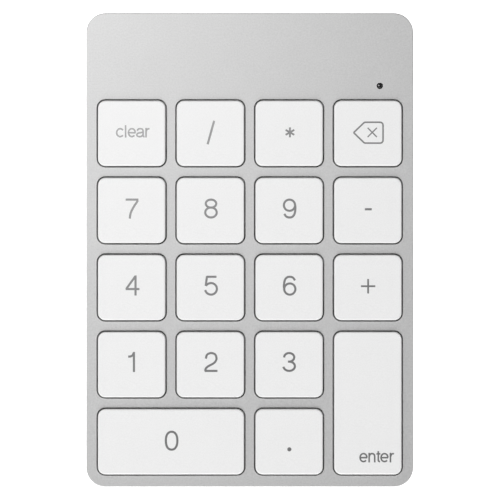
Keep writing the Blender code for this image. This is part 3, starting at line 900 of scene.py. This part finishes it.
def film_tracks():
    """Pads under the domes, joined by tracks along the rows and columns that run to the tail."""
    top = FILM_HIGH.z
    places = {key: middle_of(f"scissor_{key}").xy for key in KEY_NAMES}
    heights = (top - TRACK_SINK, top + TRACK_RAISE)
    solids = [loft([cylinder(PAD_RADIUS, *heights, place) for place in places.values()])]
    rows = sorted({round(place.y, 5) for place in places.values()})
    columns = sorted({round(place.x, 5) for place in places.values()})
    for y in rows:
        across = [place.x for place in places.values() if abs(place.y - y) < BITE]
        solids.append(flat_track([(min(across), y), (max(across) + COLUMN_PITCH / 4, y)], top))
    for number, x in enumerate(columns):
        down = [place.y for place in places.values() if abs(place.x - x) < BITE]
        step = (number + 1) * 2 * TRACK_WIDTH
        gather = DOME_HIGH.y - step
        leave = TAIL_X[0] + step
        path = [(x, min(down)), (x, gather), (leave, gather), (leave, DOME_HIGH.y - TRACK_WIDTH)]
        solids.append(flat_track(path, top))
    return merged(solids)


def bent_wire(corners, radius, steps=8):
    """A round wire through the corners, with a smooth bend at each one."""
    path = [corners[0]]
    for before, corner, after in zip(corners, corners[1:], corners[2:]):
        path += rounded_corner(before, corner, after, WIRE_BEND, steps)
    path.append(corners[-1])
    curve = bpy.data.curves.new("wire", "CURVE")
    curve.dimensions = "3D"
    curve.bevel_depth = radius
    curve.bevel_resolution = 6
    curve.use_fill_caps = True
    spline = curve.splines.new("POLY")
    spline.points.add(len(path) - 1)
    for point, place in zip(spline.points, path):
        point.co = (*place, 1.0)
    made = new_object("working", curve)
    wire = settled_mesh(made)
    bpy.data.objects.remove(made)
    return wire


def film_tail():
    """The film's flat tail, which slopes down to its connector on the board."""
    flat, end = FILM_HIGH.z - SHEET_THICKNESS, FILM_LOW.z
    first, second = TAIL_BENDS
    line = [(DOME_HIGH.y - OVERSHOOT, flat), (first - TAIL_BEND, flat)]
    line += [(first + TAIL_BEND, flat - TAIL_BEND), (second - TAIL_BEND, end + TAIL_BEND)]
    line += [(second + TAIL_BEND, end), (FILM_HIGH.y, end)]
    rings = []
    for y, z in smooth(line, 3):
        low = [Vector((x, y, z + TRACK_RAISE)) for x in TAIL_X]
        high = [Vector((x, y, z + SHEET_THICKNESS - TRACK_RAISE)) for x in reversed(TAIL_X)]
        rings.append(low + high)
    return loft([rings])


links_mesh = None
for key in KEY_NAMES:
    low, high = deck_box(f"scissor_{key}")
    centre = (low + high) / 2
    length = (high.y - low.y - LINK_THICKNESS * sin(LINK_LEAN)) / cos(LINK_LEAN)
    links_mesh = links_mesh or scissor_links(high.x - low.x, length)
    node = f"scissor_{key}"
    links = add_piece(f"links_{key}", links_mesh.copy(), LINK_PLASTIC, origin=centre, node=node)
    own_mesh(links)

dome_mesh = dome_solid()
boss_holes = [(middle_of(name).xy, BOSS_RADIUS + FIT) for name in SCREWS if "front" in name]
mouths = [(middle_of(f"scissor_{key}").xy, DOME_MOUTH) for key in KEY_NAMES]
sheet_top = Vector((*DOME_HIGH.xy, DOME_LOW.z + SHEET_THICKNESS))
sheet = flat_layer(DOME_LOW, sheet_top, boss_holes + mouths)
add_piece("dome_sheet_film", sheet, DOME_RUBBER, node="dome_sheet")
for key in KEY_NAMES:
    centre = middle_of(f"scissor_{key}")
    place = (centre.x, centre.y, 0)
    dome = add_piece(f"dome_{key}", dome_mesh.copy(), DOME_RUBBER, origin=place)
    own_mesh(dome)

film_bottom = Vector((*FILM_LOW.xy, FILM_HIGH.z - SHEET_THICKNESS))
film_top = Vector((FILM_HIGH.x, DOME_HIGH.y, FILM_HIGH.z))
film = combined(flat_layer(film_bottom, film_top, boss_holes), joined=[film_tail()])
add_piece("circuit_film", film, CIRCUIT_FILM, node="membrane_circuit")
add_piece("circuit_tracks", film_tracks(), TRACK_SILVER)
frame["nodes"]["support_plate"].data.materials.clear()
frame["nodes"]["support_plate"].data.materials.append(PLATE_STEEL)

for key, along in (("0", "x"), ("enter", "y")):
    low, high = deck_box(f"stabilizer_{key}")
    centre = (low + high) / 2
    half = (high - low) / 2 - Vector((WIRE_RADIUS,) * 3)
    reach, foot = half.xy if along == "x" else half.yx
    corners = []
    for side in (-1, 1):
        arm = [(side * (reach - WIRE_HOOK), foot, half.z), (side * reach, foot, half.z)]
        arm.append((side * reach, -foot, -half.z))
        corners += arm if side < 0 else reversed(arm)
    if along == "y":
        corners = [(y, x, z) for x, y, z in corners]
    wire = bent_wire([Vector(corner) for corner in corners], WIRE_RADIUS)
    node = f"stabilizer_{key}"
    add_piece(f"bent_bar_{key}", wire, PLATE_STEEL, f"wire_{key}", centre, node)


# Rear bay: battery, circuit board and the ports

board_box = deck_box("circuit_board")
BOARD_THICKNESS = 0.0010
BOARD_ROUND = 0.0008
BOARD_TOP = board_box[0].z + BOARD_THICKNESS
CHIP_EDGE = 0.00008
# x from, x to, y from, y to, height above the board
CAN = (0.0195, 0.0285, 0.0400, 0.0480, 0.0016)
CONNECTOR = (0.0070, 0.0170, 0.0429, 0.0460, 0.0012)
TACT_SWITCH = (0.0280, 0.0320, 0.0512, 0.0544, 0.0033)
BOARD_LAMP = (0.0307, 0.0323, 0.0393, 0.0402, 0.0007)
CONTROLLER = (0.0095, 0.0130, 0.0467, 0.0498, 0.0008)
SMALL_PARTS = [(0.0052, 0.0470), (0.0052, 0.0484), (0.0150, 0.0470), (0.0150, 0.0484)]
SMALL_PARTS += [(0.0172, 0.0490), (0.0300, 0.0430), (0.0300, 0.0445), (0.0300, 0.0460)]
SMALL_PART_SIZE = (0.0010, 0.0005, 0.0005)
PIN_COUNT = 14
PIN_WIDTH = 0.00028
CONTACT_COUNT = 12
CONTACT_PITCH = 0.0005
CONTACT_SIZE = (0.00026, 0.0030, 0.00003)
CELL_HEIGHTS = (0.0022, 0.0068)
CELL_ROUND = 0.0008
CELL_TAPE_WIDTH = 0.0030
FILM = 0.00005
USB_WALL = 0.0003
USB_CORNER = 0.0013
MOUTH_EDGE = 0.00008
SWITCH_BACK = 0.0010
GROOVE = 0.00022
GROOVE_STEPS = (-1.5, -0.5, 0.5, 1.5)
GRIP_DEPTH = 0.00018
BUTTON_FLANGE = 0.0005
# Shares of the button's radius, and how deep the dish is there
BUTTON_DISH = ((0.6, FILM / 2), (0.3, FILM))
LAMP_RADIUS = 0.00065
LAMP_TIP = LAMP_RADIUS / 20
LAMP_SHOULDER = -0.0014
LAMP_DOME = 0.00025
POCKET_WALL_X = 0.0015
POCKET_WALL_Z = 0.00065


def on_board(spans, edge=CHIP_EDGE, sink=BITE / 2):
    """A part with softened edges that stands on the board."""
    x_from, x_to, y_from, y_to, tall = spans
    low = (x_from, y_from, BOARD_TOP - sink)
    return soft_box(low, (x_to, y_to, BOARD_TOP + tall), edge)


def circuit_board():
    """The bare board, with rounded corners and softened edges."""
    low, high = board_box
    centre = (low + high).xy / 2
    rings = []
    for inset, z in soft_sides(low.z, BOARD_TOP, FILM, steps=1):
        rings.append(inset_ring((high - low).xy, inset, BOARD_ROUND, z, centre, steps=5))
    return loft([rings])


def connector_pins():
    """A row of pins behind the tail's connector."""
    x_from, x_to, y_from, y_to, tall = CONNECTOR
    step = (x_to - x_from) / (PIN_COUNT + 1)
    runs = []
    for number in range(PIN_COUNT):
        x = x_from + step * (number + 1)
        low = (x - PIN_WIDTH / 2, y_to - BITE, BOARD_TOP - FILM)
        runs.append(box_rings(low, (x + PIN_WIDTH / 2, y_to + PIN_WIDTH * 2, BOARD_TOP + BITE)))
    return loft(runs)


def small_parts():
    """The small parts, and their bright ends."""
    width, length, tall = SMALL_PART_SIZE
    parts = []
    ends = []
    for x, y in SMALL_PARTS:
        parts.append(on_board((x, x + width, y, y + length, tall), edge=CHIP_EDGE / 2))
        for end in (x - FILM, x + width - width / 4):
            spans = (end, end + width / 4 + FILM, y - FILM, y + length + FILM, tall + FILM)
            ends.append(on_board(spans, edge=CHIP_EDGE / 2))
    return loft(parts), loft(ends)


def battery_cell():
    """A flat pouch with rounded edges, which lies level on the base."""
    low, high = deck_box("battery")
    centre = (low + high).xy / 2
    rings = []
    for inset, height in soft_sides(*CELL_HEIGHTS, CELL_ROUND):
        rings.append(inset_ring((high - low).xy, inset, CELL_ROUND, level(height), centre))
    return loft([rings])


def cell_band():
    """A band of tape round the pouch, near the end with its leads."""
    low, high = deck_box("battery")
    middle = (low.y + high.y) / 2
    size = (high.y - low.y + 2 * FILM, CELL_HEIGHTS[1] - CELL_HEIGHTS[0] + 2 * FILM)
    outline = rounded_ring(*size, CELL_ROUND, 0, (middle, sum(CELL_HEIGHTS) / 2))
    ends = [high.x - CELL_TAPE_WIDTH * share for share in (2, 1)]
    return loft([[[Vector((x, p.x, level(p.y)(p.x))) for p in outline] for x in ends]])


def port_tube(node, wall_x, wall_z, back, inner_corner):
    """A tube closed at its inner end, with softened lips, from the box of its CAD node."""
    low, high = deck_box(node)
    centre = middle_of(node).xz
    outer = (high - low).xz
    inner = outer - 2 * Vector((wall_x, wall_z))

    def ring(size, grown, corner, y):
        spans = (size[0] + 2 * grown, size[1] + 2 * grown)
        corner = min(corner + grown, spans[1] / 2 * END_LIMIT)
        return rounded_ring(*spans, corner, y, centre, steps=10)

    outer_corner = inner_corner + min(wall_x, wall_z)
    face = high.y
    run = [
        ring(inner, 0, inner_corner, low.y + back),
        ring(inner, 0, inner_corner, face - MOUTH_EDGE),
        ring(inner, MOUTH_EDGE, inner_corner, face),
        ring(outer, -MOUTH_EDGE, outer_corner, face),
        ring(outer, 0, outer_corner, face - MOUTH_EDGE),
        ring(outer, 0, outer_corner, low.y),
    ]
    return loft([facing_rear(run)])


def usb_contacts():
    """A row of contacts on each side of the tongue."""
    low, high = deck_box("usb_tongue")
    middle = (low.x + high.x) / 2
    width, length, thick = CONTACT_SIZE
    runs = []
    for number in range(CONTACT_COUNT):
        x = middle + (number - (CONTACT_COUNT - 1) / 2) * CONTACT_PITCH
        y_to = high.y - CONTACT_PITCH
        for z in (low.z, high.z):
            corner = (x - width / 2, y_to - length, z - thick)
            runs.append(box_rings(corner, (x + width / 2, y_to, z + thick)))
    return loft(runs)


def switch_slider():
    """The slider's knob, with grip grooves across its face."""
    low, high = deck_box("power_switch_slider")
    knob = loft([soft_box(low, high, 2 * CHIP_EDGE)])
    middle = (low.x + high.x) / 2
    cuts = []
    for step in GROOVE_STEPS:
        x = middle + step * 2 * GROOVE
        corner = (x - GROOVE / 2, high.y - GRIP_DEPTH, low.z - OVERSHOOT)
        cuts.append(box_rings(corner, (x + GROOVE / 2, high.y + OVERSHOOT, high.z + OVERSHOOT)))
    return combined(knob, cut=[loft(cuts)])


def pairing_button():
    """A round button on a flange, with a soft edge and a shallow dish."""
    low, high = deck_box("pairing_button")
    flange = (high.x - low.x) / 2
    shoulder = low.y + BUTTON_FLANGE
    profile = [(flange, low.y), (flange, shoulder), (BUTTON_RADIUS, shoulder)]
    profile += [(BUTTON_RADIUS - inset, high.y - drop) for inset, drop in quarter_round(BITE, 5)]
    profile += [(BUTTON_RADIUS * share, high.y - dip) for share, dip in BUTTON_DISH]
    return loft([facing_rear(turned(profile, middle_of("pairing_button").xz))])


def lamp_window():
    """A light pipe on a flange. Its end in the deck is a low dome."""
    low, high = deck_box("light_pipe")
    flange = (high.x - low.x) / 2
    profile = [(flange, low.z), (flange, LAMP_SHOULDER), (LAMP_RADIUS, LAMP_SHOULDER)]
    for inset, drop in quarter_round(1.0, 6)[:-1]:
        profile.append((LAMP_RADIUS * (1 - inset), high.z - LAMP_DOME * drop))
    profile.append((LAMP_TIP, high.z))
    return loft([turned(profile)])


add_piece("board", circuit_board(), BOARD_GREEN, node="circuit_board")
add_piece("board_can", loft([on_board(CAN, edge=BITE)]), CAN_STEEL)
add_piece("board_connector", loft([on_board(CONNECTOR)]), CELL_TAPE)
add_piece("board_pins", connector_pins(), CONTACT_GOLD)
add_piece("board_controller", loft([on_board(CONTROLLER)]), CHIP_BLACK)
parts, solder = small_parts()
add_piece("board_small_parts", parts, CHIP_BLACK)
add_piece("board_solder", solder, CAN_STEEL)
add_piece("board_tact_switch", loft([on_board(TACT_SWITCH, edge=BITE)]), BLACK_PLASTIC)
add_piece("board_lamp", loft([on_board(BOARD_LAMP)]), KEY_PLASTIC)
add_piece("cell", battery_cell(), CELL_WRAP, node="battery")
add_piece("cell_tape", cell_band(), CELL_TAPE)
usb = port_tube("usb_socket", USB_WALL, USB_WALL, USB_WALL, USB_CORNER)
add_piece("usb_shell", usb, PORT_STEEL, node="usb_socket")
tongue = loft([soft_box(*deck_box("usb_tongue"), CHIP_EDGE)])
add_piece("usb_blade", tongue, BLACK_PLASTIC, node="usb_tongue")
add_piece("usb_contacts", usb_contacts(), CONTACT_GOLD)
housing = port_tube("power_switch_housing", POCKET_WALL_X, POCKET_WALL_Z, SWITCH_BACK, FIT)
add_piece("switch_housing", housing, BLACK_PLASTIC, node="power_switch_housing")
knob = switch_slider()
add_piece("switch_knob", knob, BLACK_PLASTIC, "power_switch", node="power_switch_slider")
button = pairing_button()
add_piece("pairing_knob", button, BLACK_PLASTIC, "pairing_key", node="pairing_button")
lamp_place = (*middle_of("light_pipe").xy, 0)
add_piece("lamp_window", lamp_window(), LAMP_PLASTIC, origin=lamp_place, node="light_pipe")


# Underside: the base with its ribs and posts, the screws and the feet

RIB_LINES = (-0.0286, -0.0095, 0.0095, 0.0286)
RIB_SPAN = (-0.0380, 0.0360)
BASE_RIB = 0.0010
POST_RADIUS = 0.0012
POST_PLACES = [(0.0065, 0.0410), (0.0065, 0.0520), (0.0250, 0.0410), (0.0315, 0.0520)]
BASE_EDGE = 0.00015
FOOT_RECESS_TOP = 0.0012
HEAD_RECESS_TOP = 0.0015
HEAD_RECESS = 0.0016
HEAD_BOTTOM = 0.0008
HEAD_THICKNESS = 0.0004
SHANK_RADIUS = 0.0007
DRIVE_LENGTH = 0.0015
DRIVE_WIDTH = 0.00032
DRIVE_DEPTH = 0.00025
FOOT_FILLET = 0.00018
FOOT_DISH = 0.00008
# The radii of the dish's floor and of its rim, as shares of the foot's radius
FOOT_DISH_SHARES = (0.60, 0.66)


def recess(radius, top, place, steps):
    """A round recess in the underside, with a chamfer at its mouth."""
    mouth = UNDERSIDE + BASE_EDGE / 2
    profile = [(radius, top), (radius, mouth), (radius + OVERSHOOT, mouth - OVERSHOOT)]
    return turned([(reach, level(height)) for reach, height in profile], place, steps)


def base_plate():
    """A level plate inside the walls, with ribs under the key plate and posts under the board."""
    low, high = deck_box("bottom_cover")
    corner = BODY_CORNER - WALL - FIT
    plate = []
    for inset, height in soft_sides(UNDERSIDE, BASE_TOP, BASE_EDGE, steps=1):
        plate.append(inset_ring((high - low).xy, inset, corner - inset, level(height), steps=10))
    raised = []
    rib_top = deck_box("support_plate")[0].z - FIT
    span = RIB_SPAN[1] - RIB_SPAN[0]
    for x in RIB_LINES:
        middle = (x, sum(RIB_SPAN) / 2)
        foot = rounded_ring(BASE_RIB, span, BITE, level(BASE_TOP - BITE), middle, steps=3)
        raised.append([foot, rounded_ring(BASE_RIB, span, BITE, rib_top, middle, steps=3)])
    for place in POST_PLACES:
        ends = (level(BASE_TOP - BITE), board_box[0].z - FIT)
        raised.append(cylinder(POST_RADIUS, *ends, place))
    cuts = []
    for foot in FEET:
        foot_low, foot_high = deck_box(foot)
        radius = (foot_high.x - foot_low.x) / 2 + FIT
        cuts.append(recess(radius, FOOT_RECESS_TOP, (foot_low + foot_high).xy / 2, 48))
    through = []
    for screw in SCREWS:
        place = middle_of(screw).xy
        cuts.append(recess(HEAD_RECESS, HEAD_RECESS_TOP, place, 32))
        through.append(cylinder(BOSS_HOLE, level(UNDERSIDE), level(BASE_TOP + OVERSHOOT), place))
    return combined(loft([plate]), joined=[loft(raised)], cut=[loft(cuts), loft(through)])


def screw_solid(node):
    """A pan-head screw from below, with a cross recess in its head."""
    low, high = deck_box(node)
    place = (low + high).xy / 2
    radius = (high.x - low.x) / 2
    rounding = reversed(quarter_round(BITE, 4))
    profile = [(radius - inset, HEAD_BOTTOM + drop) for inset, drop in rounding]
    profile += [(reach, HEAD_BOTTOM + HEAD_THICKNESS) for reach in (radius, SHANK_RADIUS)]
    rings = turned([(reach, level(height)) for reach, height in profile], place)
    rings += turned([(SHANK_RADIUS, high.z - SHANK_RADIUS / 2), (SHANK_RADIUS / 2, high.z)], place)
    head = level(HEAD_BOTTOM)(place.y)
    cross = []
    for across, along in ((DRIVE_LENGTH, DRIVE_WIDTH), (DRIVE_WIDTH, DRIVE_LENGTH)):
        reach = Vector((across / 2, along / 2))
        corners = (*(place - reach), head - OVERSHOOT), (*(place + reach), head + DRIVE_DEPTH)
        cross.append(loft([box_rings(*corners)]))
    return combined(loft([rings]), cut=cross)


def foot_solid(node):
    """A round rubber foot with a soft lower edge and a shallow dish."""
    low, high = deck_box(node)
    place = (low + high).xy / 2
    radius = (high.x - low.x) / 2
    profile = [(radius * FOOT_DISH_SHARES[0], FOOT_DISH), (radius * FOOT_DISH_SHARES[1], 0)]
    profile += [(radius - inset, drop) for inset, drop in reversed(quarter_round(FOOT_FILLET))]
    profile.append((radius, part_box(node)[1].z))
    return loft([turned([(reach, level(height)) for reach, height in profile], place, 56)])


add_piece("base_plate", base_plate(), BASE_PLASTIC, node="bottom_cover")
for screw in SCREWS:
    add_piece(f"{screw}_steel", screw_solid(screw), SCREW_STEEL, node=screw)
for foot in FEET:
    add_piece(f"{foot}_pad", foot_solid(foot), FOOT_RUBBER, node=foot)


# Stage: a pale floor, soft light and the camera

FLOOR_SIZE = 3.0
CAMERA_LENS = 200
CAMERA_SENSOR = 36
FRAME_ACROSS = 0.12107
AIM = Vector((0.00006, 0, 0))
SKY_STRENGTH = 0.15
# Place, width and power of each light. All are aimed at the object.
LIGHTS = {
    "light_near": ((-0.12, 0.12, 0.45), 0.2, 1.0),
    "light_front": ((0, -0.95, 0.55), 0.7, 8.5),
    "light_left": ((-0.9, 0, 0.6), 0.7, 2.3),
    "light_right": ((0.9, 0, 0.6), 0.7, 1.3),
}
FLOOR_WHITE = surface(
    "floor_white",
    (0.95, 0.95, 0.95),
    0.9,
    0.002,
    1,
    Emission_Color=(1, 1, 1, 1),
    Emission_Strength=0.8,
)


for name, (place, width, power) in LIGHTS.items():
    lamp = bpy.data.lights.new(name, "AREA")
    lamp.shape = "RECTANGLE"
    lamp.size = lamp.size_y = width
    lamp.energy = power
    made = new_object(name, lamp)
    made.location = place
    aim = Vector((0, 0, 0)) - made.location
    made.rotation_euler = aim.to_track_quat("-Z", "Y").to_euler()
    made.visible_camera = False

world = bpy.data.worlds.new("studio")
world.use_nodes = True
sky = world.node_tree.nodes["Background"].inputs
sky["Color"].default_value = (1, 1, 1, 1)
sky["Strength"].default_value = SKY_STRENGTH
bpy.context.scene.world = world

floor_mesh = bmesh.new()
bmesh.ops.create_grid(floor_mesh, x_segments=1, y_segments=1, size=FLOOR_SIZE / 2)
floor = new_object("floor", shape_from(floor_mesh))
floor.data.materials.append(FLOOR_WHITE)

camera = bpy.data.cameras.new("camera")
camera.lens = CAMERA_LENS
camera.sensor_width = CAMERA_SENSOR
viewer = new_object("camera", camera)
distance = FRAME_ACROSS * CAMERA_LENS / CAMERA_SENSOR
viewer.matrix_world = DECK_MATRIX @ Matrix.Translation(AIM + Vector((0, 0, distance)))
bpy.context.scene.camera = viewer
bpy.context.scene.view_settings.view_transform = "Standard"
